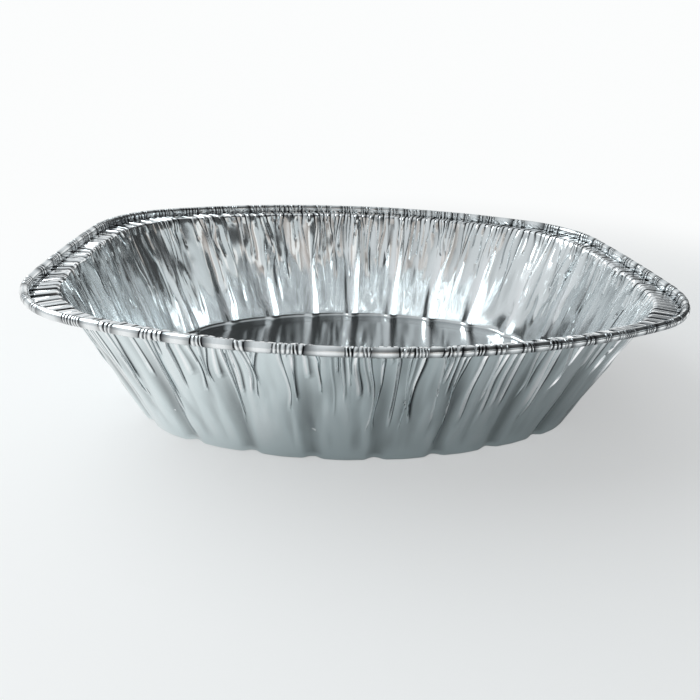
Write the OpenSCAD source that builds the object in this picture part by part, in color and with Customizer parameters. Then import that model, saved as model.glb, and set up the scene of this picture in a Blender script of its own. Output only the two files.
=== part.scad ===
// Oval roasting tray pressed from one sheet of aluminium foil.
// The middle of the floor is the origin, +X runs along the tray and +Z is up.
// Every plan outline is a blunt oval of arcs, and one section is swept round them.

/* [Overall] */
// Length over the rolled rim
rim_l = 450; // [420:1:500]
// Width over the rolled rim
rim_w = 330; // [315:1:370]
// Height from the table to the top of the rolled rim
tray_h = 106.5; // [60:0.5:140]
// Thickness of the foil
foil_t = 0.15; // [0.1:0.01:0.3]

/* [Rim outline] */
// Radius of the nearly flat arc at each end of the rim
rim_end_r = 1200; // [600:10:2000]
// Width of that end arc
rim_end_w = 119; // [80:1:130]
// Radius of the four corners of the rim
rim_corner_r = 77; // [60:1:82]

/* [Rolled bead] */
// Height of the rolled bead
bead_h = 6; // [4:0.1:8]
// Width of the rolled bead
bead_w = 5; // [3:0.1:7]
// Angle that the bead turns through, from its inner side round and under
bead_turn = 300; // [240:5:320]

/* [Ledge] */
// Width from the crest of the wall out to the rim, bead included
ledge_w = 16.5; // [12:0.5:22]
// Depth of the ledge below the top of the bead
ledge_drop = 6.6; // [6.1:0.1:12]
// Bend radius where the wall turns over into the ledge
crest_r = 4; // [2:0.5:6]
// Radius of the shallow arc at each end of the crest line
crest_end_r = 900; // [500:10:1500]
// Width of that end arc
crest_end_w = 87; // [60:1:95]
// Radius of the four corners of the crest line
crest_corner_r = 84; // [70:1:88]

/* [Floor] */
// Distance that the wall leans out between the floor and the crest
wall_lean = 25.5; // [15:0.5:28]
// Radius of the arc at each end of the floor
floor_end_r = 118; // [100:1:140]
// Width of that end arc
floor_end_w = 142; // [110:1:146]
// Radius of the four corners of the floor
floor_corner_r = 86; // [70:1:88]
// Bend radius between the floor and the wall
foot_r = 5; // [2:0.5:8]
// Width of the flat ring that the tray stands on
seat_w = 18; // [12:0.5:24]
// Height that the middle of the floor is raised by
panel_h = 1.5; // [0.5:0.1:4]
// Width of the slope up to the raised floor
panel_slope_w = 3; // [2:0.5:6]

/* [Ribs] */
// Number of upright ribs round the wall
rib_n = 24; // [16:4:32]
// Width of a rib at its foot
rib_w = 16; // [8:0.5:20]
// Depth that a rib stands in from the wall at its foot
rib_depth = 3.5; // [1:0.1:5]
// Share of that depth left at the crest
rib_fade = 0.15; // [0:0.01:0.5]
// Outward bow of the wall between two ribs
panel_bow = 1; // [0:0.1:2]

/* [Pleats] */
// Rise and fall of the gathers over the crest and the ledge
pleat_depth = 0.7; // [0:0.1:1.5]
// Share of the wall's height at which the gathers have died out
pleat_start = 0.75; // [0.5:0.01:0.9]

/* [Hidden] */
foil_colour = [0.78, 0.80, 0.81];
// Rings that the tray stands on, counted from the middle of the floor
SEAT_IN = 1;
SEAT_OUT = 2;
// Share of the gather's depth that each ring takes, from the floor out to the foot of the bead
PLEAT_SHARE = [0, 0, 0, 0, 0, 0, 0.5, 1, 1, 0.6];
// Turns of the bead's section from its inner side over the top to its edge
BEAD_TURNS = [0, 45, 90, 135, 180, (180 + bead_turn) / 2, bead_turn];
RINGS = len(PLEAT_SHARE) + len(BEAD_TURNS);

seat_z = foil_t / 2;
ledge_z = tray_h - ledge_drop;
bead_mid_z = tray_h - foil_t / 2 - bead_h / 2;

// A quarter of a blunt oval as three arcs that meet smoothly: end, corner and side.
// Each arc is [centre x, centre y, radius, first angle, last angle].
function oval(half_l, half_w, end_r, corner_r, end_w) =
    let (
        end_a = asin(end_w / 2 / end_r),
        corner_x = half_l - end_r + (end_r - corner_r) * cos(end_a),
        corner_y = (end_r - corner_r) * sin(end_a),
        rise = half_w - corner_y,
        side_r = (corner_x ^ 2 + rise ^ 2 - corner_r ^ 2) / (rise - corner_r) / 2,
        side_y = half_w - side_r,
        side_a = atan2(corner_y - side_y, corner_x)
    ) [
        [half_l - end_r, 0, end_r, 0, end_a],
        [corner_x, corner_y, corner_r, end_a, side_a],
        [0, side_y, side_r, side_a, 90]
    ];

function arc_len(arc) = arc[2] * (arc[4] - arc[3]) * PI / 180;

function oval_len(arcs) = arc_len(arcs[0]) + arc_len(arcs[1]) + arc_len(arcs[2]);

// Point and outward angle at a distance along the quarter
function walk(arcs, s, k = 0) =
    k < 2 && s > arc_len(arcs[k])
    ? walk(arcs, s - arc_len(arcs[k]), k + 1)
    : let (arc = arcs[k], a = arc[3] + s / arc[2] * 180 / PI)
        [arc[0] + arc[2] * cos(a), arc[1] + arc[2] * sin(a), a];

// Point and outward direction at share t of the way round the whole oval
function round_oval(arcs, t) =
    let (
        whole = t - floor(t),
        quarter = floor(whole * 4),
        u = whole * 4 - quarter,
        p = walk(arcs, (quarter % 2 == 0 ? u : 1 - u) * oval_len(arcs)),
        sx = quarter == 0 || quarter == 3 ? 1 : -1,
        sy = quarter < 2 ? 1 : -1
    ) [[sx * p[0], sy * p[1]], [sx * cos(p[2]), sy * sin(p[2])]];

// A point at height z, a distance out from an oval
function at(place, out, z) =
    let (p = place[0] + place[1] * out) [p[0], p[1], z];

function unit(v) = v / norm(v);

// First, middle and last point of the bend of radius r at b, on the way from a to c
function bend(a, b, c, r) =
    let (
        u = unit(a - b),
        v = unit(c - b),
        half = acos(u * v) / 2
    ) [
        b + u * r / tan(half),
        b + unit(u + v) * (r / sin(half) - r),
        b + v * r / tan(half)
    ];

floor_line = oval(rim_l / 2 - ledge_w - wall_lean, rim_w / 2 - ledge_w - wall_lean,
    floor_end_r, floor_corner_r, floor_end_w);
crest_line = oval(rim_l / 2 - ledge_w, rim_w / 2 - ledge_w,
    crest_end_r, crest_corner_r, crest_end_w);
rim_line = oval(rim_l / 2 - foil_t / 2, rim_w / 2 - foil_t / 2,
    rim_end_r, rim_corner_r, rim_end_w);

// Places round the tray, as shares of one rib's pitch: five on the rib, two on the wall between
rib_half = rib_w / 2 / (oval_len(floor_line) * 4 / rib_n);
wall_third = (1 + rib_half) / 3;
PHASES = [-wall_third, -rib_half, -rib_half / 2, 0, rib_half / 2, rib_half, wall_third];
STEPS = len(PHASES);
AROUND = rib_n * STEPS;

// How far the wall stands in at a place in the pitch: a rounded rib, and a bow out between ribs
function stand_in(phase) =
    abs(phase) < rib_half
    ? rib_depth * (1 + cos(180 * phase / rib_half)) / 2
    : -panel_bow * (1 - cos(180 * (abs(phase) - rib_half) / (0.5 - rib_half))) / 2;

// The foil's section at share t of the way round, from the floor out to the bead's edge
function section(t, rib) =
    let (
        floor_p = round_oval(floor_line, t),
        crest_p = round_oval(crest_line, t),
        rim_p = round_oval(rim_line, t),
        panel = at(floor_p, -seat_w - panel_slope_w, seat_z + panel_h),
        seat = at(floor_p, -seat_w, seat_z),
        foot = at(floor_p, -rib, seat_z),
        crest = at(crest_p, -rib * rib_fade, ledge_z),
        step = at(rim_p, -bead_w, ledge_z)
    ) concat(
        [panel, seat],
        bend(seat, foot, crest, foot_r),
        [foot + (crest - foot) * pleat_start],
        bend(foot, crest, step, crest_r),
        [step],
        [for (turn = BEAD_TURNS)
            at(rim_p, -bead_w / 2 * (cos(turn) + 1), bead_mid_z + bead_h / 2 * sin(turn))]
    );

// The middle of the foil, as one section for each place round the tray
sections = [
    for (k = [0 : rib_n - 1]) for (phase = PHASES)
        section((k + phase) / rib_n, stand_in(phase))
];
floor_mid = [0, 0, seat_z + panel_h];

// Direction across the foil at ring i and place j, towards the inside of the tray
function across(i, j) =
    let (
        here = sections[j],
        seat = i == SEAT_IN || i == SEAT_OUT,
        before = seat ? here[SEAT_IN] : i == 0 ? floor_mid : here[i - 1],
        after = seat ? here[SEAT_OUT] : here[min(i + 1, RINGS - 1)],
        left = sections[(j + 1) % AROUND][i],
        right = sections[(j + AROUND - 1) % AROUND][i]
    ) unit(cross(after - before, left - right));

// One face of the foil: side is 1 for the inside of the tray and -1 for the outside
function face(side) = [
    for (i = [0 : RINGS - 1]) for (j = [0 : AROUND - 1])
        let (
            share = i < len(PLEAT_SHARE) ? PLEAT_SHARE[i] : 0,
            gather = pleat_depth / 2 * share * (j % 2 == 0 ? 1 : -1)
        )
        sections[j][i] + across(i, j) * (side * foil_t / 2 + gather)
];

// Two triangles between ring i and the next, or between the two faces' edges
function quad(a, b, c, d) = [[a, b, c], [a, c, d]];

module tray() {
    points = concat(face(1), face(-1), [
        for (side = [1, -1]) floor_mid + [0, 0, side * foil_t / 2]
    ]);
    under = RINGS * AROUND;
    edge = under - AROUND;
    mid = 2 * under;
    faces = [
        for (j = [0 : AROUND - 1])
            let (n = (j + 1) % AROUND)
            each concat(
                [[mid, n, j], [mid + 1, under + j, under + n]],
                [for (i = [0 : RINGS - 2])
                    let (a = i * AROUND, b = a + AROUND)
                    each concat(
                        quad(a + j, a + n, b + n, b + j),
                        quad(under + a + j, under + b + j, under + b + n, under + a + n)
                    )],
                quad(edge + j, edge + n, edge + under + n, edge + under + j)
            )
    ];
    color(foil_colour) polyhedron(points = points, faces = faces, convexity = 6);
}

tray();
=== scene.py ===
# %% [markdown]
# A deep oval roasting tray, pressed from one sheet of aluminium foil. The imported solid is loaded
# first and never moves: it gives the tray's overall size and its place on the table. Everything
# after it is the look of the real foil, which gathers into small pleats wherever a flat sheet is
# forced round a curve.

# %% Load the frame
import math

import bmesh
import bpy
import numpy as np
from mathutils import Matrix, Vector, noise


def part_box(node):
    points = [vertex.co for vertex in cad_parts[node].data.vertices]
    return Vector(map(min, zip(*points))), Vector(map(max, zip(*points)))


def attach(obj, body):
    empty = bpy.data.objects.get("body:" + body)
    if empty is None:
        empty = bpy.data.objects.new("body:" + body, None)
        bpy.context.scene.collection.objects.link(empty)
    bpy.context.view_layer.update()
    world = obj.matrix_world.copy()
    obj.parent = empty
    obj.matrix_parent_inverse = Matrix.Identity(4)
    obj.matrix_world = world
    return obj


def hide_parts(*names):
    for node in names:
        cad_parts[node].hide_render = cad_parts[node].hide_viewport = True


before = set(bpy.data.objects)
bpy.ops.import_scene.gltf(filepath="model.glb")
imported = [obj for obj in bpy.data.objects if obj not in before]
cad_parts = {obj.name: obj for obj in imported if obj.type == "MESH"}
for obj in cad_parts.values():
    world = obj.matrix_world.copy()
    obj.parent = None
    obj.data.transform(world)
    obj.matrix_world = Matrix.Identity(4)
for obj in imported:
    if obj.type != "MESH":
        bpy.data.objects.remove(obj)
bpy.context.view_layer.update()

LOW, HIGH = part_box("tray")
MM = 0.001
TRAY_L = HIGH[0] - LOW[0]
TRAY_W = HIGH[1] - LOW[1]
TRAY_H = HIGH[2]
print("tray", [round(v / MM, 1) for v in (TRAY_L, TRAY_W, TRAY_H)], "mm")

# %% [markdown]
# The camera stands where the photographer stood: a little above the rim, close to the tray and
# turned slightly to the right. Its place comes from matching the rim, the floor and the wall's
# outline. A full-frame lens of about 28 mm gives the strong perspective of a close view.

# %% Camera
PHOTO_PX = 700
FOCAL_PX = 546.1
VIEW_CENTRE_PX = (374.2, 358.6)
CAMERA_PLACE = Vector((-43.2, -413.9, 235.0)) * MM
CAMERA_PAN = -0.132
CAMERA_TILT = 0.489
CAMERA_ROLL = 0.065


def add_camera():
    data = bpy.data.cameras.new("camera")
    data.sensor_width = 36
    data.lens = FOCAL_PX * data.sensor_width / PHOTO_PX
    data.shift_x = (PHOTO_PX / 2 - VIEW_CENTRE_PX[0]) / PHOTO_PX
    data.shift_y = (VIEW_CENTRE_PX[1] - PHOTO_PX / 2) / PHOTO_PX
    data.clip_start = 0.01
    camera = bpy.data.objects.new("camera", data)
    turn = Matrix.Rotation(CAMERA_PAN, 4, "Z")
    turn @= Matrix.Rotation(math.pi / 2 - CAMERA_TILT, 4, "X")
    turn @= Matrix.Rotation(CAMERA_ROLL, 4, "Z")
    camera.matrix_world = Matrix.Translation(CAMERA_PLACE) @ turn
    bpy.context.collection.objects.link(camera)
    bpy.context.scene.camera = camera
    return camera


camera = add_camera()
print("lens", round(camera.data.lens, 1), "mm")

# %% [markdown]
# Every outline of the tray is a blunt oval of three arcs to a quarter: a nearly flat end, a round
# corner and a long shallow side. Walking the same share of each outline's length keeps the ribs
# and pleats square to the wall. The arrays take many places at once, because the sheet has tens
# of thousands of points.

# %% Outlines
LEDGE_W = 16.5 * MM
WALL_LEAN = 25.5 * MM
FOIL_T = 0.15 * MM


def oval(inset, end_r, corner_r, end_w):
    """The three arcs of a quarter: centre, radius, first and last angle."""
    half_l, half_w = TRAY_L / 2 - inset, TRAY_W / 2 - inset
    end_r, corner_r, end_w = end_r * MM, corner_r * MM, end_w * MM
    end_a = math.asin(end_w / 2 / end_r)
    corner_x = half_l - end_r + (end_r - corner_r) * math.cos(end_a)
    corner_y = (end_r - corner_r) * math.sin(end_a)
    rise = half_w - corner_y
    side_r = (corner_x**2 + rise**2 - corner_r**2) / (rise - corner_r) / 2
    side_a = math.atan2(corner_y - half_w + side_r, corner_x)
    return [
        (half_l - end_r, 0.0, end_r, 0.0, end_a),
        (corner_x, corner_y, corner_r, end_a, side_a),
        (0.0, half_w - side_r, side_r, side_a, math.pi / 2),
    ]


def oval_length(arcs):
    return 4 * sum(r * (last - first) for _, _, r, first, last in arcs)


def round_oval(arcs, t):
    """Points and outward directions at shares t of the way round."""
    quarter = np.floor((t % 1) * 4)
    share = (t % 1) * 4 - quarter
    share = np.where(quarter % 2 == 0, share, 1 - share)
    s = share * oval_length(arcs) / 4
    x, y, angle = np.zeros_like(s), np.zeros_like(s), np.zeros_like(s)
    start = 0.0
    for cx, cy, r, first, last in arcs:
        here = s >= start - 1e-12
        a = first + (s - start) / r
        x = np.where(here, cx + r * np.cos(a), x)
        y = np.where(here, cy + r * np.sin(a), y)
        angle = np.where(here, a, angle)
        start += r * (last - first)
    side_x = np.where((quarter == 0) | (quarter == 3), 1, -1)
    side_y = np.where(quarter < 2, 1, -1)
    flat = np.zeros_like(s)
    place = np.stack([side_x * x, side_y * y, flat], axis=1)
    outward = np.stack([side_x * np.cos(angle), side_y * np.sin(angle), flat], axis=1)
    return place, outward


RIM_LINE = oval(FOIL_T / 2, 1200, 77, 119)
CREST_LINE = oval(LEDGE_W, 900, 84, 87)
FLOOR_LINE = oval(LEDGE_W + WALL_LEAN, 118, 86, 142)
CREST_LENGTH = oval_length(CREST_LINE)
RIM_LENGTH = oval_length(RIM_LINE)
print("round the crest", round(CREST_LENGTH / MM), "mm, round the rim", round(RIM_LENGTH / MM), "mm")

# %% [markdown]
# The section of the foil runs from the middle of the floor, down a small slope to the flat ring
# that the tray stands on, round the foot, up the leaning wall, over the crest and out along the
# ledge to the rolled bead. Each rib is a rounded column that stands in from the wall. It is
# deepest at its foot and keeps under a third of that depth at the crest. A section that is worked
# out at any share of the way round can be swept round all three outlines at once, which a bevelled
# curve can't do.

# %% Ribs and section
RIB_N = 24
RIB_W = 17 * MM
RIB_DEPTH = 2.7 * MM
RIB_FADE = 0.3
PANEL_BOW = 0.4 * MM
FOOT_R = 4.4 * MM
PANEL_FOOT_R = 3.2 * MM
CREST_R = 2.6 * MM
SEAT_W = 18 * MM
PANEL_H = 1.5 * MM
SLOPE_W = 3 * MM
LEDGE_DROP = 6.6 * MM
BEAD_H = 6 * MM
BEAD_W = 5 * MM
BEAD_TURN = math.radians(300)
SEAT_Z = FOIL_T / 2
LEDGE_Z = TRAY_H - LEDGE_DROP
# Share of the wall's height at which its columns double, where the longest folds have died out
WALL_SPLIT = 0.25
RIB_HALF = RIB_W / 2 / (oval_length(FLOOR_LINE) / RIB_N)


def stand_in(t):
    """How far the foot of the wall stands in: a rounded rib, and a bow out between ribs."""
    phase = np.abs((t * RIB_N + 0.5) % 1 - 0.5)
    rib = RIB_DEPTH * (1 + np.cos(np.pi * np.minimum(phase / RIB_HALF, 1))) / 2
    between = np.clip((phase - RIB_HALF) / (0.5 - RIB_HALF), 0, 1)
    return rib - PANEL_BOW * (1 - np.cos(np.pi * between)) / 2


def at(place, outward, out, z):
    """Points at height z, a distance out from an outline."""
    return place + outward * np.reshape(out, (-1, 1)) + np.array([0, 0, z])


def unit(v):
    return v / np.linalg.norm(v, axis=1, keepdims=True)


def bend(a, b, c, radius, share):
    """Points at a share of the bend of that radius at b, on the way from a to c."""
    u, v = unit(a - b), unit(c - b)
    half = np.arccos(np.sum(u * v, axis=1, keepdims=True)) / 2
    centre = b + unit(u + v) * radius / np.sin(half)
    first = b + u * radius / np.tan(half) - centre
    last = b + v * radius / np.tan(half) - centre
    turn = np.pi - 2 * half
    mixed = np.sin((1 - share) * turn) * first + np.sin(share * turn) * last
    return centre + mixed / np.sin(turn)


def smooth(x):
    x = np.clip(x, 0, 1)
    return x * x * (3 - 2 * x)


def section(zone, share, t):
    """The middle of the foil at places t round the tray, in one zone of the section."""
    floor_p, rim_p = round_oval(FLOOR_LINE, t), round_oval(RIM_LINE, t)
    if zone == "panel":
        edge = at(*floor_p, -SEAT_W - SLOPE_W, SEAT_Z + PANEL_H)
        return edge * np.array([share, share, 1])
    if zone == "slope":
        drop = PANEL_H * (1 - smooth(share))
        return at(*floor_p, -SEAT_W - SLOPE_W * (1 - share), SEAT_Z + drop)
    if zone == "step":
        return at(*rim_p, -BEAD_W, LEDGE_Z + share * (TRAY_H - BEAD_H / 2 - LEDGE_Z))
    if zone == "bead":
        turn = share * BEAD_TURN
        middle = TRAY_H - FOIL_T / 2 - BEAD_H / 2
        return at(*rim_p, -BEAD_W / 2 * (math.cos(turn) + 1), middle + BEAD_H / 2 * math.sin(turn))
    rib = stand_in(t)
    seat = at(*floor_p, -SEAT_W, SEAT_Z)
    foot = at(*floor_p, -rib, SEAT_Z)
    crest = at(*round_oval(CREST_LINE, t), -rib * RIB_FADE, LEDGE_Z)
    step = at(*rim_p, -BEAD_W, LEDGE_Z)
    foot_r = PANEL_FOOT_R + (FOOT_R - PANEL_FOOT_R) * np.maximum(rib, 0)[:, None] / RIB_DEPTH
    foot_in, foot_out = bend(seat, foot, crest, foot_r, 0), bend(seat, foot, crest, foot_r, 1)
    crest_in, crest_out = bend(foot, crest, step, CREST_R, 0), bend(foot, crest, step, CREST_R, 1)
    if zone == "seat":
        return seat + (foot_in - seat) * share
    if zone == "foot":
        return bend(seat, foot, crest, foot_r, share)
    if zone == "wall":
        return foot_out + (crest_in - foot_out) * share * WALL_SPLIT
    if zone == "upper":
        return foot_out + (crest_in - foot_out) * (WALL_SPLIT + share * (1 - WALL_SPLIT))
    if zone == "crest":
        return bend(foot, crest, step, CREST_R, share)
    return crest_out + (step - crest_out) * share


# %% [markdown]
# Where the flat sheet is drawn round the crest there is too much foil, so it gathers: pleats
# cross the ledge, turn over the crest and run out down the wall at all lengths. A fold in foil is
# sharp, so the columns of the sheet are laid out along the folds: eight to a pleat, one of them
# in the valley and two close beside it. The widths come from a seeded generator, because no two
# gathers of a real tray are alike.

# %% Columns along the folds
FOLD_N = 144
PLEAT_SHARES = np.array([0, 0, 0.22, 0.38, 0.5, 0.62, 0.78, 1.0])


def fold_columns(widths, length, edge, shares):
    """Places of the sheet's columns: those of each fold's parts, two an edge from its valley."""
    edges = np.concatenate([[0], np.cumsum(widths)]) * length / np.sum(widths)
    valley, wide = edges[:-1, None], np.diff(edges)[:, None]
    lines = valley + wide * shares
    near = np.minimum(edge, wide[:, 0] / 4)
    lines[:, 1] += near
    lines[:, -1] -= near
    return np.append(lines.ravel(), length) / length


draw = np.random.default_rng(21)
PLEAT_COLUMNS = fold_columns(draw.uniform(4.2, 12, FOLD_N), CREST_LENGTH, 0.6 * MM,
                              PLEAT_SHARES)
print("mean pleat", round(CREST_LENGTH / FOLD_N / MM, 2), "mm")

# %% [markdown]
# Some pleats die out just under the crest. Others run on down the wall as a crease, and the
# longest have died out where the sheet's columns get wider, because a crease that met that line
# would stop short. So each fold gets a reach and a depth, drawn from seeded generators: a real
# tray looks uneven, and the same seed gives the same tray each time.

# %% Reach and depth of each fold
LONGEST_FOLD = 74 * MM


def draw_reach(count, seed, long_share, longest_share):
    draw = np.random.default_rng(seed)
    pick = draw.uniform(size=count)
    reach = draw.uniform(5, 14, count)
    reach = np.where(pick > 1 - long_share, draw.uniform(20, 50, count), reach)
    longest = draw.uniform(42, LONGEST_FOLD / MM, count)
    return np.where(pick > 1 - longest_share, longest, reach) * MM


draw = np.random.default_rng(8)
PLEAT_REACH = draw_reach(FOLD_N, 3, 0.75, 0.3)
PLEAT_DEEP = draw.uniform(0.7, 1.25, FOLD_N) * MM
PLEAT_TILT = draw.uniform(-1.8, 1.8, FOLD_N)
MINOR_REACH = draw_reach(FOLD_N, 4, 0.6, 0.25)
MINOR_DEEP = draw.uniform(0.1, 1.0, FOLD_N) * MM
RIDGE_TAIL = draw.uniform(0.1, 0.5, FOLD_N)
print("longest crease", round(max(PLEAT_REACH.max(), MINOR_REACH.max()) / MM), "mm")

# %% [markdown]
# Many creases lean towards each other and join like a Y. Below the place where they meet, one of
# them runs on alone. Two folds that join are both made fairly deep, so that the Y can be seen.

# %% The pairs that join
JOIN_SQUEEZE = 0.85
PLEAT_PARTS = len(PLEAT_SHARES)


def draw_joins(seed):
    """Pairs of folds that join: middle, half width apart, and the depth where they meet."""
    draw = np.random.default_rng(seed)
    joins, fold = [], 1
    while fold < FOLD_N - 4:
        meet = draw.uniform(18, 58) * MM
        parts = (0, PLEAT_PARTS // 2) if draw.uniform() < 0.35 else (0, PLEAT_PARTS)
        left, right = (PLEAT_COLUMNS[PLEAT_PARTS * fold + k] * CREST_LENGTH for k in parts)
        joins.append(((left + right) / 2, (right - left) / 2, meet))
        PLEAT_REACH[fold] = min(meet * 1.3 + draw.uniform(4, 26) * MM, LONGEST_FOLD)
        PLEAT_DEEP[fold] = draw.uniform(0.9, 1.3) * MM
        if parts[1] == PLEAT_PARTS:
            PLEAT_REACH[fold + 1] = min(meet * 1.3, LONGEST_FOLD)
            PLEAT_DEEP[fold + 1] = draw.uniform(0.8, 1.2) * MM
        else:
            MINOR_REACH[fold] = min(meet * 1.3, LONGEST_FOLD)
            MINOR_DEEP[fold] = draw.uniform(0.6, 0.9) * MM
        fold += 1 + int(draw.integers(1, 4))
    return joins


PLEAT_JOINS = draw_joins(5)
print(len(PLEAT_JOINS), "pairs join")

# %% [markdown]
# The folds don't run straight down. Moving the sheet's columns sideways, before it is pressed,
# bends each fold together with the foil beside it. A slow noise lets them wander on the wall, a
# finer one makes them lean on the ledge, and each pair is squeezed together down to where it
# meets. A valley also opens a little below the crest, apart from those that join.

# %% Nudge the columns sideways
def dents(points, across, down, seed):
    """Smooth noise at points of the sheet, a dent every so many metres across and down."""
    shift = Vector((seed * 7.3, seed * 3.1, seed * 5.7))
    return np.array([
        noise.noise(Vector((x / across, y / across, d / down)) + shift) for x, y, d in points
    ])


def sideways(t, depth, part):
    """How far round the tray the sheet is nudged at each depth under the crest."""
    s = t * CREST_LENGTH
    down = max(depth, 0)
    opened = 0.5 * MM * smooth(down / (16 * MM)) * np.ones_like(s)
    points = round_oval(CREST_LINE, t)[0] + np.array([0, 0, depth])
    nudge = dents(points, 30 * MM, 45 * MM, 1) * 3.5 * MM * min(down / (30 * MM), 1)
    nudge += dents(points * [1, 1, 0], 16 * MM, 1, 7) * 0.5 * min(depth, 12 * MM)
    for middle, apart, meet in PLEAT_JOINS:
        off = (s - middle + CREST_LENGTH / 2) % CREST_LENGTH - CREST_LENGTH / 2
        hold = 1 - smooth((np.abs(off) - apart) / (3 * MM + apart))
        squeeze = smooth(down / meet) * (1 - 0.5 * smooth((down - meet) / (18 * MM)))
        nudge -= off * hold * JOIN_SQUEEZE * squeeze
        opened *= 1 - hold * squeeze
    nudge += np.where(part == 1, opened, 0) - np.where(part == PLEAT_PARTS - 1, opened, 0)
    return nudge / CREST_LENGTH


# %% [markdown]
# The foil starts as what it is, a flat sheet, with one row for each line of the section. The rows
# are listed zone by zone, so that a tight bend gets more of them than a plain wall. Each row's
# depth is measured along the foil, as a thread laid down the wall would measure it.

# %% Rows of the sheet
def make_rows(zones):
    """One (zone, share) for each row of the sheet, from the first zone's start on."""
    rows = [(zones[0][0], 0.0)]
    for zone, count in zones:
        rows += [(zone, (k + 1) / count) for k in range(count)]
    return rows


def row_depths(rows, top_zone):
    """Distance along the foil from the middle of the top zone down to each row."""
    lines = np.array([section(zone, share, np.array([0.02]))[0] for zone, share in rows])
    run = np.concatenate([[0], np.cumsum(np.linalg.norm(np.diff(lines, axis=0), axis=1))])
    top = [k for k, row in enumerate(rows) if row[0] == top_zone]
    return run[top[len(top) // 2]] - run


# %% [markdown]
# The sheet could be modelled as a tray and unwrapped afterwards, but pressing it the way the
# factory does gives both at once. It is a flat grid, whose columns are doubled with
# subdivide_edges zone by zone, so the floor stays light and the pleated ledge gets all its
# columns. The flat grid is kept as the UV map, and then each point goes to its place on the tray.
# Merging the doubles closes the seam, and the innermost row becomes the pole in the middle.

# %% Press a flat sheet into shape
def press_sheet(name, zones, top_zone, columns, coarse, finer_from, nudge, parts):
    """A mesh of the middle of the foil, with its place on the flat sheet kept on each point."""
    rows = make_rows(zones)
    depths = row_depths(rows, top_zone)
    last = len(rows) - 1
    bm = bmesh.new()
    flat = Matrix.Translation((0.5, last / 2, 0)) @ Matrix.Diagonal((0.5, last / 2, 1, 1))
    bmesh.ops.create_grid(bm, x_segments=coarse, y_segments=last, size=1, matrix=flat)
    for zone in finer_from:
        first_row = next(i for i, row in enumerate(rows) if row[0] == zone) - 1
        along = [
            e for e in bm.edges
            if abs(e.verts[0].co.y - e.verts[1].co.y) < 1e-4 and e.verts[0].co.y > first_row + 0.5
        ]
        bmesh.ops.subdivide_edges(bm, edges=along, cuts=1)
    uv = bm.loops.layers.uv.new("sheet_uv")
    column_of = bm.verts.layers.float.new("column")
    row_of = bm.verts.layers.float.new("row")
    share_round = bm.verts.layers.float.new("share_round")
    for face in bm.faces:
        for loop in face.loops:
            loop[uv].uv = (loop.vert.co.x, loop.vert.co.y / last)
    by_row = {}
    for vert in bm.verts:
        vert[column_of], vert[row_of] = vert.co.x * (len(columns) - 1), round(vert.co.y)
        by_row.setdefault(round(vert.co.y), []).append(vert)
    for row, verts in by_row.items():
        column = np.array([round(v[column_of]) for v in verts])
        t = columns[column] + nudge(columns[column], depths[row], column % parts)
        for vert, share, place in zip(verts, t, section(*rows[row], t)):
            vert.co, vert[share_round] = place, share
    bmesh.ops.remove_doubles(bm, verts=bm.verts, dist=0.001 * MM)
    bm.normal_update()
    if sum(f.normal.z * f.calc_area() for f in bm.faces) < 0:
        bmesh.ops.reverse_faces(bm, faces=bm.faces)
    mesh = bpy.data.meshes.new(name)
    bm.to_mesh(mesh)
    bm.free()
    mesh.shade_smooth()
    print(name, len(mesh.vertices), "points,", len(mesh.polygons), "faces")
    return mesh, rows, depths


# %% [markdown]
# Relief is worked out for all points together with numpy, which is quicker than one by one. So
# the points are read into arrays, moved, and written back. Two kinds of value stay on them as
# attributes: the place on the sheet, which the crinkle follows, and the painted shade and painted
# highlights of the folds. Edges that are folded sharper than a soft bend are marked sharp, because
# foil holds a crisp crease.

# %% Read and write the points
SHARP_FOLD = math.radians(24)


def read_points(mesh, depths):
    """Place, direction out of the foil, column, row, share round and place on the sheet."""
    n = len(mesh.vertices)
    place, across = np.empty(n * 3), np.empty(n * 3)
    mesh.vertices.foreach_get("co", place)
    mesh.vertex_normals.foreach_get("vector", across)
    column, row, t = np.empty(n), np.empty(n), np.empty(n)
    for name, values in (("column", column), ("row", row), ("share_round", t)):
        mesh.attributes[name].data.foreach_get("value", values)
        mesh.attributes.remove(mesh.attributes[name])
    column, row = np.rint(column).astype(int), np.rint(row).astype(int)
    sheet = round_oval(CREST_LINE, t)[0]
    sheet[:, 2] = depths[row]
    return place.reshape(-1, 3), across.reshape(-1, 3), column, row, t, sheet


def write_points(mesh, place, sheet, lines):
    """Move the points, mark the sharp folds and keep the values that the materials read."""
    mesh.vertices.foreach_set("co", place.ravel())
    mesh.update()
    mesh.set_sharp_from_angle(angle=SHARP_FOLD)
    layer = mesh.attributes.new("sheet", "FLOAT_VECTOR", "POINT")
    layer.data.foreach_set("vector", sheet.ravel())
    for name, values in zip(("inside_shade", "outside_shade"), lines):
        layer = mesh.attributes.new(name, "FLOAT", "POINT")
        layer.data.foreach_set("value", values)
    mesh.update()


# %% [markdown]
# A fold is a sharp valley, with a rounded ridge up to the next one. The ridge leans to one side
# and often has a smaller valley on it. It sinks quickly under the crest, but leaves a low tail
# down the wall. The crimps of the rolled rim have the same form, so both pieces use this function.

# %% Relief of the folds
def runs(depth, length):
    """Share of a fold's depth that is left at a place, for a fold of that length."""
    return 1 - smooth((depth - 0.8 * length) / (0.2 * length))


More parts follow.
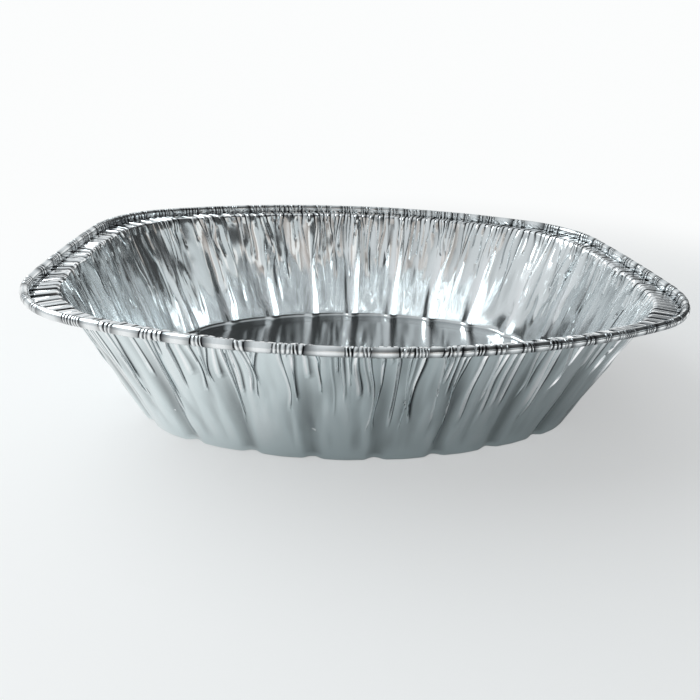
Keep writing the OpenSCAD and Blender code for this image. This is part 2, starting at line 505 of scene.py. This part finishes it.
def fold_relief(shares, column, depth, deep, reach, tilt, tail, minor, minor_reach):
    """Height of the folds: a sharp valley, a leaning ridge, and often a smaller valley on it."""
    fold, part = (column // len(shares)) % len(deep), column % len(shares)
    after = (fold + 1) % len(deep)
    down = np.maximum(depth, 0)
    fade = (1 - tail[fold]) * np.exp(-down / (8 * MM)) + tail[fold] * np.exp(-down / (55 * MM))
    size = 0.55 * (deep[fold] + deep[after]) / 2 * fade
    share = shares[part]
    ridge = size * (np.sqrt(np.sin(np.pi * np.clip(share, 0.07, 0.93))) + tilt[fold] * (share - 0.5))
    total = np.where(part == 0, -deep[fold] * runs(depth, reach[fold]), ridge)
    smaller = minor[fold] * runs(depth, minor_reach[fold])
    return np.where(part == len(shares) // 2, total - smaller, total)


# %% [markdown]
# Light that falls into a tight fold bounces between its sides and is lost. The render has too few
# bounces and the mesh too few columns to show that by itself, so each point also gets a painted
# shade for each face of the foil: above 0 it darkens as painted shade, below 0 it brightens as a
# painted highlight on a ridge. On the outside the valley is a ridge, so the signs turn round there.

# %% Shade of the folds
def fold_lines(shares, column, depth, deep, reach, minor, minor_reach):
    """Painted shade inside and outside: 1 in the dark of a fold, below 0 a painted highlight on a
    ridge.
    """
    fold, part = (column // len(shares)) % len(deep), column % len(shares)
    after = (fold + 1) % len(deep)
    ledge = 1 - smooth(depth / (4 * MM))

    def shade(size, length, k):
        return np.minimum(1.3 * size[k] / MM, 1) * runs(depth, length[k])

    middle, last = len(shares) // 2, len(shares) - 1
    inside = np.select(
        [part == 0, part == 1, part == last, part == middle],
        [shade(deep, reach, fold), (0.5 + 0.5 * ledge) * shade(deep, reach, fold),
         0.6 * ledge * shade(deep, reach, after), shade(minor, minor_reach, fold)], -0.95 * ledge,
    )
    outside = np.select(
        [part == 0, part == 1, part == last, part == middle, part == middle + 1],
        [-1.3 * shade(deep, reach, fold), shade(deep, reach, fold), -0.7 * shade(deep, reach, after),
         -shade(minor, minor_reach, fold), 0.8 * shade(minor, minor_reach, fold)], 0,
    )
    return inside * (1 - 0.8 * smooth(depth / (12 * MM))), outside


# %% [markdown]
# Between the folds the wall is never flat. It has soft dents of two sizes, drawn out down the
# wall, small dimples like grains of rice, and long bulges that start at a round tip. Without them
# each panel would mirror the room in one piece. Only the points near a dimple or a bulge are
# worked on, so hundreds of them take little time.

# %% Dents, dimples and bulges
def rice_relief(sheet, count, seed):
    """Small long dimples, scattered over the wall."""
    draw = np.random.default_rng(seed)
    middles = round_oval(CREST_LINE, draw.uniform(size=count))[0]
    total = np.zeros(len(sheet))
    for x, y, _ in middles:
        deep, sigma = draw.uniform(8, 80) * MM, draw.uniform(0.7, 1.1) * MM
        height = draw.uniform(-0.2, 0.2) * MM
        lean = draw.uniform(-0.25, 0.25)
        down = sheet[:, 2] - deep
        off = np.hypot(sheet[:, 0] - x, sheet[:, 1] - y)
        near = (off < 6 * MM) & (np.abs(down) < 12 * MM)
        side = off[near] * np.sign((sheet[near, 0] - x) * -y + (sheet[near, 1] - y) * x)
        side = side - lean * down[near]
        total[near] += height * np.exp(-((side / sigma) ** 2) - (down[near] / (3 * MM)) ** 2)
    return total


def fan_relief(sheet, count, seed):
    """Long soft bulges that start at a round tip under a pleat and run on towards the foot."""
    draw = np.random.default_rng(seed)
    middles = round_oval(CREST_LINE, draw.uniform(size=count))[0]
    total = np.zeros(len(sheet))
    for x, y, _ in middles:
        tip, run = draw.uniform(12, 62) * MM, draw.uniform(22, 55) * MM
        sigma, height = draw.uniform(1.3, 2.8) * MM, draw.uniform(0.25, 0.6) * MM
        lean = draw.uniform(-0.12, 0.12)
        down = sheet[:, 2] - tip
        off = np.hypot(sheet[:, 0] - x, sheet[:, 1] - y)
        near = (off < 14 * MM) & (down > 0) & (down < run)
        side = off[near] * np.sign((sheet[near, 0] - x) * -y + (sheet[near, 1] - y) * x)
        side = side - lean * down[near]
        along = smooth(down[near] / (14 * MM)) * (1 - smooth((down[near] / run - 0.5) * 2))
        total[near] += height * np.exp(-((side / sigma) ** 2)) * along
    return total


def soft_relief(sheet):
    large = 1.1 * MM * dents(sheet, 11 * MM, 60 * MM, 1)
    small = 0.8 * MM * dents(sheet, 5 * MM, 32 * MM, 2)
    return large + small + rice_relief(sheet, 420, 6) + fan_relief(sheet, 170, 9)


# %% [markdown]
# The bowl is everything inside the foot of the rolled bead. Its relief is added along the foil's
# own direction out, after the smooth shape is pressed. The ribs are stiff, so they stay calmer
# than the wall between them, and the relief fades away towards the foot, so that the ring under it
# stays flat on the table. The raised floor only ripples a little, upwards.

# %% The bowl
BOWL_ZONES = [
    ("panel", 12), ("slope", 4), ("seat", 3), ("foot", 5),
    ("wall", 6), ("upper", 23), ("crest", 6), ("ledge", 4),
]
# Zones where the sheet's columns double, and the number of columns before the first
BOWL_DOUBLES = ("slope", "slope", "seat", "upper")
BOWL_COARSE = 72
# Zones, height and width in mm, and seed of the floor's ripples
FLOOR_RIPPLES = ((("panel", "slope"), 0.35, 38, 3), (("slope", "seat"), 0.14, 6, 5))
# Painted shade on the floor and foot inside the tray, which dims the reflections there
FLOOR_SHADE = 0.2


def bowl_shades(lines, rib, soft, on_wall):
    """The folds' painted shades, with painted highlights inside and painted shade outside on ribs
    and bulges.
    """
    hollow = np.clip(soft / MM, -0.6, 0.8)
    inside = lines[0] - 0.8 * rib - 0.3 * hollow
    outside = lines[1] + 0.5 * rib + 0.35 * hollow
    return np.where(on_wall, inside, FLOOR_SHADE), np.where(on_wall, outside, 0)


def make_bowl():
    mesh, rows, depths = press_sheet(
        "tray_bowl", BOWL_ZONES, "crest", PLEAT_COLUMNS, BOWL_COARSE, BOWL_DOUBLES, sideways,
        PLEAT_PARTS,
    )
    place, across, column, row, t, sheet = read_points(mesh, depths)
    depth = sheet[:, 2]
    zone_of = np.array([zone for zone, share in rows])[row]
    on_wall = np.isin(zone_of, ("wall", "upper", "crest", "ledge"))
    foot_depth = depth[zone_of == "foot"].min()
    print("finer columns run down to", round(depth[zone_of == "upper"].max() / MM), "mm of",
          round(foot_depth / MM), "mm")
    low_fade = smooth((foot_depth - depth - 3 * MM) / (16 * MM))
    out_fade = 1 - 0.35 * np.clip(-depth / LEDGE_W, 0, 1)
    relief = out_fade * fold_relief(
        PLEAT_SHARES, column, depth, PLEAT_DEEP, PLEAT_REACH, PLEAT_TILT, RIDGE_TAIL, MINOR_DEEP,
        MINOR_REACH,
    )
    rib = np.maximum(stand_in(t), 0) / RIB_DEPTH
    calm = 1 - 0.55 * rib * smooth((depth - 4 * MM) / (20 * MM))
    relief *= calm
    wall_fade = low_fade * calm * smooth(depth / (6 * MM))
    soft = soft_relief(sheet) * wall_fade
    relief += soft
    moved = place + across * np.where(on_wall, relief, 0)[:, None]
    for zones, height, width, seed in FLOOR_RIPPLES:
        ripple = height * MM * (1 + dents(place * [1, 1, 0], width * MM, 1, seed))
        moved[:, 2] += np.where(np.isin(zone_of, zones), ripple, 0)
    lines = fold_lines(
        PLEAT_SHARES, column, depth, PLEAT_DEEP, PLEAT_REACH, MINOR_DEEP, MINOR_REACH,
    )
    # Painted rib highlight inside and painted rib shade outside: none at the crest, whole from
    # halfway down
    rib *= smooth(depth / (0.5 * foot_depth))
    write_points(mesh, moved, sheet, bowl_shades(lines, rib, soft, on_wall))
    return mesh


bowl_mesh = make_bowl()

# %% [markdown]
# The rim is rolled outwards and down into a bead. Rolling crimps the foil in bunches: a few sharp
# nicks close together, then a smooth stretch. On one part of each half of the rim the bunches
# crowd together, because the rollers don't grip evenly. The crimps could be cut into a swept tube,
# but as columns of a sheet they are pressed like the folds.

# %% Columns of the rolled rim
RIM_ZONES = [("step", 3), ("bead", 16)]
CRIMP_N = 340
CRIMP_SHARES = np.array([0, 0, 0.5, 1.0])
# Share of each half of the strips, both ways from its middle, where the bunches crowd together
CROWDED_SHARE = 0.27


def draw_crimps(seed):
    """Widths of the strips between crimps, and how deep the crimp before each one is."""
    draw = np.random.default_rng(seed)
    widths, deep = [], []
    while len(widths) < CRIMP_N:
        place = sum(widths) * MM / RIM_LENGTH * 2 % 1
        crowded = abs(place - 0.5) < CROWDED_SHARE
        for _ in range(int(draw.integers(2, 8))):
            widths.append(draw.uniform(1.2, 2.6))
            deep.append(draw.uniform(0.35, 1.0) * MM)
        widths.append(draw.uniform(4, 10) if crowded else draw.uniform(8, 20))
        deep.append(draw.uniform(0.5, 0.9) * MM)
    print("strips add up to", round(sum(widths[:CRIMP_N])), "mm of", round(RIM_LENGTH / MM))
    return np.array(widths[:CRIMP_N]), np.array(deep[:CRIMP_N])


CRIMP_WIDTHS, CRIMP_DEEP = draw_crimps(12)
CRIMP_COLUMNS = fold_columns(CRIMP_WIDTHS, RIM_LENGTH, 0.5 * MM, CRIMP_SHARES)

# %% [markdown]
# Relief on the bead only goes inwards, so that the rim keeps its full size. The nicks get a painted
# shade like the folds, and the middle of each strip between them a painted highlight. The step at
# the bead's foot starts a little below the ledge, so that the two pieces leave no gap between them.

# %% The rolled rim
def bead_nudge(t, depth, part):
    """The crimps lean a little as they go over the bead."""
    points = round_oval(CREST_LINE, t)[0]
    return dents(points, 5 * MM, 1, 4) * 0.5 * depth / RIM_LENGTH


def make_rim():
    mesh, rows, depths = press_sheet(
        "tray_rim", RIM_ZONES, "bead", CRIMP_COLUMNS, CRIMP_N * len(CRIMP_SHARES), (), bead_nudge,
        len(CRIMP_SHARES),
    )
    place, across, column, row, t, sheet = read_points(mesh, depths)
    zone_of = np.array([zone for zone, share in rows])[row]
    none, whole = np.zeros(CRIMP_N), np.ones(CRIMP_N)
    relief = fold_relief(
        CRIMP_SHARES, column, 0 * sheet[:, 2], CRIMP_DEEP, whole, none, none, none, whole,
    )
    relief *= 0.75 + 0.6 * dents(sheet, 3 * MM, 3 * MM, 8)
    relief -= 0.2 * MM * (1 + dents(sheet, 20 * MM, 9 * MM, 6))
    relief = np.minimum(relief, 0)
    relief = np.where(zone_of == "bead", relief, 0.3 * relief)
    moved = place + across * relief[:, None]
    moved[:, 2] -= np.where(row == 0, 0.6 * MM, 0)
    # Painted highlight in the middle of each strip between the crimps
    raised = -0.35 * MM * whole
    line, _ = fold_lines(CRIMP_SHARES, column, 0 * sheet[:, 2], CRIMP_DEEP, whole, raised, whole)
    write_points(mesh, moved, sheet, [line, line])
    return mesh


rim_mesh = make_rim()

# %% [markdown]
# So far the foil has no thickness. The Solidify modifier gives it 0.15 mm, half to each side, and
# closes the edges. Its material offset puts the second material on the other face, because the
# two faces of foil differ. Both pieces are parts of the one sheet, so both replace the same solid.

# %% Give the foil its thickness
def add_piece(mesh):
    piece = bpy.data.objects.new(mesh.name, mesh)
    bpy.context.collection.objects.link(piece)
    wall = piece.modifiers.new("foil thickness", "SOLIDIFY")
    wall.thickness = FOIL_T
    wall.offset = 0
    wall.material_offset = 1
    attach(piece, "root")
    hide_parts("tray")
    triangles = 2 * sum(len(face.vertices) - 2 for face in mesh.polygons)
    print(mesh.name, "about", triangles, "triangles with its thickness")
    return piece


bowl = add_piece(bowl_mesh)
rim = add_piece(rim_mesh)

# %% [markdown]
# Foil has a fine crinkle, too small for the mesh, and a haze that varies from place to place. Both
# finishes of the foil need it, so it is one node group that puts out a height and a roughness. It
# reads the place on the flat sheet, so the streaks follow the wall down and turn with it.

# %% Crinkle node group
def crinkle_group():
    group = bpy.data.node_groups.new("foil crinkle", "ShaderNodeTree")
    for name, kind in (("Sheet", "NodeSocketVector"), ("Across", "NodeSocketFloat"),
                       ("Down", "NodeSocketFloat"), ("Base Roughness", "NodeSocketFloat")):
        group.interface.new_socket(name, in_out="INPUT", socket_type=kind)
    for name in ("Height", "Roughness"):
        group.interface.new_socket(name, in_out="OUTPUT", socket_type="NodeSocketFloat")
    nodes, links = group.nodes, group.links
    start, end = nodes.new("NodeGroupInput"), nodes.new("NodeGroupOutput")
    scale = nodes.new("ShaderNodeCombineXYZ")
    links.new(start.outputs["Across"], scale.inputs["X"])
    links.new(start.outputs["Across"], scale.inputs["Y"])
    links.new(start.outputs["Down"], scale.inputs["Z"])
    spread = nodes.new("ShaderNodeVectorMath")
    spread.operation = "MULTIPLY"
    links.new(start.outputs["Sheet"], spread.inputs[0])
    links.new(scale.outputs["Vector"], spread.inputs[1])
    streaks = nodes.new("ShaderNodeTexNoise")
    streaks.inputs["Scale"].default_value = 1
    streaks.inputs["Detail"].default_value = 0
    links.new(spread.outputs["Vector"], streaks.inputs["Vector"])
    links.new(streaks.outputs["Fac"], end.inputs["Height"])
    haze = nodes.new("ShaderNodeTexNoise")
    haze.inputs["Scale"].default_value = 60
    links.new(start.outputs["Sheet"], haze.inputs["Vector"])
    vary = nodes.new("ShaderNodeMapRange")
    vary.inputs["To Min"].default_value = 0.8
    vary.inputs["To Max"].default_value = 1.25
    links.new(haze.outputs["Fac"], vary.inputs["Value"])
    rough = nodes.new("ShaderNodeMath")
    rough.operation = "MULTIPLY"
    links.new(vary.outputs["Result"], rough.inputs[0])
    links.new(start.outputs["Base Roughness"], rough.inputs[1])
    links.new(rough.outputs["Value"], end.inputs["Roughness"])
    return group


CRINKLE = crinkle_group()
print("group", CRINKLE.name)

# %% [markdown]
# The second group turns a fold's painted shade into a colour. The shade has a sign: above 0 it
# mixes the foil's colour towards a painted fold shade, and below 0 towards a painted ridge
# highlight. A Mix node clamps its factor, so one Mix takes the shade as it is and the other takes
# it times -1.

# %% Fold shade node group
def fold_shade_group():
    """Painted shade where a tight fold traps light, and a painted highlight on a ridge."""
    group = bpy.data.node_groups.new("fold shade", "ShaderNodeTree")
    for name, kind in (("Line", "NodeSocketFloat"), ("Foil Colour", "NodeSocketColor"),
                       ("Fold Shade Colour", "NodeSocketColor"), ("Ridge Highlight Colour", "NodeSocketColor")):
        group.interface.new_socket(name, in_out="INPUT", socket_type=kind)
    group.interface.new_socket("Colour", in_out="OUTPUT", socket_type="NodeSocketColor")
    nodes, links = group.nodes, group.links
    start, end = nodes.new("NodeGroupInput"), nodes.new("NodeGroupOutput")
    mix = nodes.new("ShaderNodeMix")
    mix.data_type = "RGBA"
    links.new(start.outputs["Line"], mix.inputs["Factor"])
    links.new(start.outputs["Foil Colour"], mix.inputs["A"])
    links.new(start.outputs["Fold Shade Colour"], mix.inputs["B"])
    turned = nodes.new("ShaderNodeMath")
    turned.operation = "MULTIPLY"
    turned.inputs[1].default_value = -1
    links.new(start.outputs["Line"], turned.inputs[0])
    ridge = nodes.new("ShaderNodeMix")
    ridge.data_type = "RGBA"
    links.new(turned.outputs["Value"], ridge.inputs["Factor"])
    links.new(mix.outputs["Result"], ridge.inputs["A"])
    links.new(start.outputs["Ridge Highlight Colour"], ridge.inputs["B"])
    links.new(ridge.outputs["Result"], end.inputs["Colour"])
    return group


FOLD_SHADE = fold_shade_group()
print("group", FOLD_SHADE.name)

# %% [markdown]
# Foil is rolled in pairs, so one side is bright and the other satin. The bright side faces into
# the tray and shows on the bead. Bare metal takes its colour from its surroundings, so both
# materials are fully metallic and pale, and the satin side is a little darker and rougher.

# %% Bright and satin foil
# Painted shade for the dark of a fold and a painted highlight for a ridge, mixed into the foil's
# colour
PAINTED_FOLD_SHADE = (0.06, 0.065, 0.07, 1)
PAINTED_RIDGE_HIGHLIGHT = (0.96, 0.97, 0.98, 1)
CRINKLE_DEEP = 0.02 * MM
# Crinkles in a metre of the sheet
CRINKLES_ACROSS = 220
CRINKLES_DOWN = 30


def foil(name, colour, roughness, shade_name):
    """A bare aluminium finish with the fine crinkle in its normal."""
    material = bpy.data.materials.new(name)
    material.use_nodes = True
    nodes, links = material.node_tree.nodes, material.node_tree.links
    shader = nodes["Principled BSDF"]
    shader.inputs["Metallic"].default_value = 1
    # The base colour carries the painted fold shade and the painted ridge highlights, read from the
    # shade attribute
    line = nodes.new("ShaderNodeAttribute")
    line.attribute_name = shade_name
    shade = nodes.new("ShaderNodeGroup")
    shade.node_tree = FOLD_SHADE
    shade.inputs["Foil Colour"].default_value = (*colour, 1)
    shade.inputs["Fold Shade Colour"].default_value = PAINTED_FOLD_SHADE
    shade.inputs["Ridge Highlight Colour"].default_value = PAINTED_RIDGE_HIGHLIGHT
    links.new(line.outputs["Fac"], shade.inputs["Line"])
    links.new(shade.outputs["Colour"], shader.inputs["Base Color"])
    sheet = nodes.new("ShaderNodeAttribute")
    sheet.attribute_name = "sheet"
    crinkle = nodes.new("ShaderNodeGroup")
    crinkle.node_tree = CRINKLE
    crinkle.inputs["Across"].default_value = CRINKLES_ACROSS
    crinkle.inputs["Down"].default_value = CRINKLES_DOWN
    crinkle.inputs["Base Roughness"].default_value = roughness
    links.new(sheet.outputs["Vector"], crinkle.inputs["Sheet"])
    links.new(crinkle.outputs["Roughness"], shader.inputs["Roughness"])
    relief = nodes.new("ShaderNodeBump")
    relief.inputs["Strength"].default_value = 1
    relief.inputs["Distance"].default_value = CRINKLE_DEEP
    links.new(crinkle.outputs["Height"], relief.inputs["Height"])
    links.new(relief.outputs["Normal"], shader.inputs["Normal"])
    return material


bright = foil("bright foil", (0.79, 0.82, 0.83), 0.12, "inside_shade")
satin = foil("satin foil", (0.69, 0.765, 0.78), 0.17, "outside_shade")
for piece in (bowl, rim):
    piece.data.materials.append(bright)
    piece.data.materials.append(satin)
print("materials", [material.name for material in bowl.data.materials])

# %% [markdown]
# The tray stands on a pale sweep: a floor that curves up into a backdrop far behind it, as paper
# from a roll does in a studio. It is a square whose far edge is extruded upwards and bevelled.

# %% Floor and backdrop
SWEEP_REACH = 5
SWEEP_RISE = 1.9
SWEEP_BEND = 1


def add_sweep():
    bm = bmesh.new()
    bmesh.ops.create_grid(bm, x_segments=1, y_segments=1, size=SWEEP_REACH)
    back = [e for e in bm.edges if all(v.co.y > 0.98 * SWEEP_REACH for v in e.verts)]
    raised = bmesh.ops.extrude_edge_only(bm, edges=back)["geom"]
    for vert in raised:
        if isinstance(vert, bmesh.types.BMVert):
            vert.co.z += SWEEP_RISE
    bmesh.ops.bevel(
        bm, geom=back, offset=SWEEP_BEND, segments=16, profile=0.5, affect="EDGES", material=-1,
    )
    bmesh.ops.recalc_face_normals(bm, faces=bm.faces)
    mesh = bpy.data.meshes.new("sweep")
    bm.to_mesh(mesh)
    bm.free()
    mesh.shade_smooth()
    sweep = bpy.data.objects.new("sweep", mesh)
    bpy.context.collection.objects.link(sweep)
    return sweep


sweep = add_sweep()
print("sweep", 2 * SWEEP_REACH, "m wide")

# %% [markdown]
# Near the tray the sweep is plain paper that takes its shadow, which falls to the right. Further
# from the middle of that shadow it brightens to the white of a lit backdrop. The fade has one row
# for the camera and one for reflections, so the foil mirrors a white floor all round, apart from
# its own shadow. The camera's share of white never falls to nothing, which keeps the shadow
# light. Nothing else sees the white, so no light comes from it.

# %% Pale paper
BACKDROP_WHITE = (0.97, 0.98, 0.98, 1)
SHADOW_MIDDLE = (0.18, 0, 0)
# Kind of ray, least share of white, and the distances where the fade starts and is whole
SWEEP_FADES = (("Is Camera Ray", 0.45, 0.25, 0.8), ("Is Glossy Ray", 0, 0.25, 0.4))


def pale_paper():
    material = bpy.data.materials.new("pale paper")
    material.use_nodes = True
    nodes, links = material.node_tree.nodes, material.node_tree.links
    shader, end = nodes["Principled BSDF"], nodes["Material Output"]
    shader.inputs["Base Color"].default_value = (0.86, 0.86, 0.86, 1)
    shader.inputs["Roughness"].default_value = 0.9
    place = nodes.new("ShaderNodeTexCoord")
    far = nodes.new("ShaderNodeVectorMath")
    far.operation = "DISTANCE"
    far.inputs[1].default_value = SHADOW_MIDDLE
    links.new(place.outputs["Object"], far.inputs[0])
    ray = nodes.new("ShaderNodeLightPath")
    share = nodes.new("ShaderNodeMath")
    share.operation = "ADD"
    for k, (kind, least, start, whole) in enumerate(SWEEP_FADES):
        fade = nodes.new("ShaderNodeMapRange")
        fade.interpolation_type = "SMOOTHSTEP"
        fade.inputs["From Min"].default_value = start
        fade.inputs["From Max"].default_value = whole
        fade.inputs["To Min"].default_value = least
        links.new(far.outputs["Value"], fade.inputs["Value"])
        seen = nodes.new("ShaderNodeMath")
        seen.operation = "MULTIPLY"
        links.new(fade.outputs["Result"], seen.inputs[0])
        links.new(ray.outputs[kind], seen.inputs[1])
        links.new(seen.outputs["Value"], share.inputs[k])
    white = nodes.new("ShaderNodeEmission")
    white.inputs["Color"].default_value = BACKDROP_WHITE
    mix = nodes.new("ShaderNodeMixShader")
    links.new(share.outputs["Value"], mix.inputs["Fac"])
    links.new(shader.outputs["BSDF"], mix.inputs[1])
    links.new(white.outputs["Emission"], mix.inputs[2])
    links.new(mix.outputs["Shader"], end.inputs["Surface"])
    return material


sweep.data.materials.append(pale_paper())

# %% [markdown]
# The main light is one large soft window, high at the left and close by, so that its light falls
# off across the tray. Bare foil shows little colour of its own, so what draws its folds is
# contrast: a fold that faces the window turns white and one that faces away turns dark. A long low
# window at the right puts streaks of light on the left wall, and a dim warm wall in front keeps
# the back wall from being cold all over. The room lamps are a little cool, as daylight is.

# %% Lamps
DAYLIGHT = (0.91, 0.98, 1.0)
WARM = (1.0, 0.87, 0.78)


def add_lamp(name, azimuth, elevation, distance, size, radiance, colour=DAYLIGHT):
    """A soft window at an angle round and above the tray, as bright to look at as radiance."""
    a, e = math.radians(azimuth), math.radians(elevation)
    away = Vector((math.cos(e) * math.cos(a), math.cos(e) * math.sin(a), math.sin(e)))
    data = bpy.data.lights.new(name, "AREA")
    data.shape = "RECTANGLE"
    data.size, data.size_y = size
    data.energy = radiance * math.pi * size[0] * size[1]
    data.color = colour
    lamp = bpy.data.objects.new(name, data)
    aim = (-away).to_track_quat("-Z", "Y")
    lamp.matrix_world = Matrix.Translation(away * distance) @ aim.to_matrix().to_4x4()
    bpy.context.collection.objects.link(lamp)
    return lamp


add_lamp("window", 164, 46, 1.35, (1.25, 0.84), 3.5)
add_lamp("low window", 322, 16, 4.0, (5.6, 0.6), 0.7)
add_lamp("warm wall", 280, 9, 4.0, (2.6, 1.2), 0.35, WARM)

# %% [markdown]
# Foil mirrors the whole room, so the room needs a bright side and a dark side, or the tray would
# look like grey plastic. The world is pale towards the left and dim towards the right, with a soft
# border between. The camera sees plain white in its place, through Is Camera Ray.

# %% Room
ROOM_SIDE = math.radians(163)
ROOM_DIM, ROOM_PALE = 0.07, 0.76
# Where the dim side ends and the pale side starts, as the cosine of the angle from that side
ROOM_BORDER = (-0.6, 0.05)


def add_room():
    """A world that is pale towards the left, and dim towards the right."""
    world = bpy.data.worlds.new("room")
    world.use_nodes = True
    nodes, links = world.node_tree.nodes, world.node_tree.links
    place = nodes.new("ShaderNodeTexCoord")
    left = nodes.new("ShaderNodeVectorMath")
    left.operation = "DOT_PRODUCT"
    left.inputs[1].default_value = (math.cos(ROOM_SIDE), math.sin(ROOM_SIDE), -0.1)
    links.new(place.outputs["Generated"], left.inputs[0])
    ramp = nodes.new("ShaderNodeMapRange")
    ramp.interpolation_type = "SMOOTHSTEP"
    ramp.inputs["From Min"].default_value = ROOM_BORDER[0]
    ramp.inputs["From Max"].default_value = ROOM_BORDER[1]
    ramp.inputs["To Min"].default_value = ROOM_DIM
    ramp.inputs["To Max"].default_value = ROOM_PALE
    links.new(left.outputs["Value"], ramp.inputs["Value"])
    shader = nodes["Background"]
    shader.inputs["Color"].default_value = (0.94, 0.98, 1.0, 1)
    links.new(ramp.outputs["Result"], shader.inputs["Strength"])
    seen = nodes.new("ShaderNodeBackground")
    seen.inputs["Color"].default_value = BACKDROP_WHITE
    ray, mix = nodes.new("ShaderNodeLightPath"), nodes.new("ShaderNodeMixShader")
    links.new(ray.outputs["Is Camera Ray"], mix.inputs["Fac"])
    links.new(shader.outputs["Background"], mix.inputs[1])
    links.new(seen.outputs["Background"], mix.inputs[2])
    links.new(mix.outputs["Shader"], nodes["World Output"].inputs["Surface"])
    bpy.context.scene.world = world
    return world


print("world", add_room().name)
bpy.context.scene.view_settings.view_transform = "Standard"

# %% [markdown]
# Last, the view layer is updated.

# %% The end
bpy.context.view_layer.update()
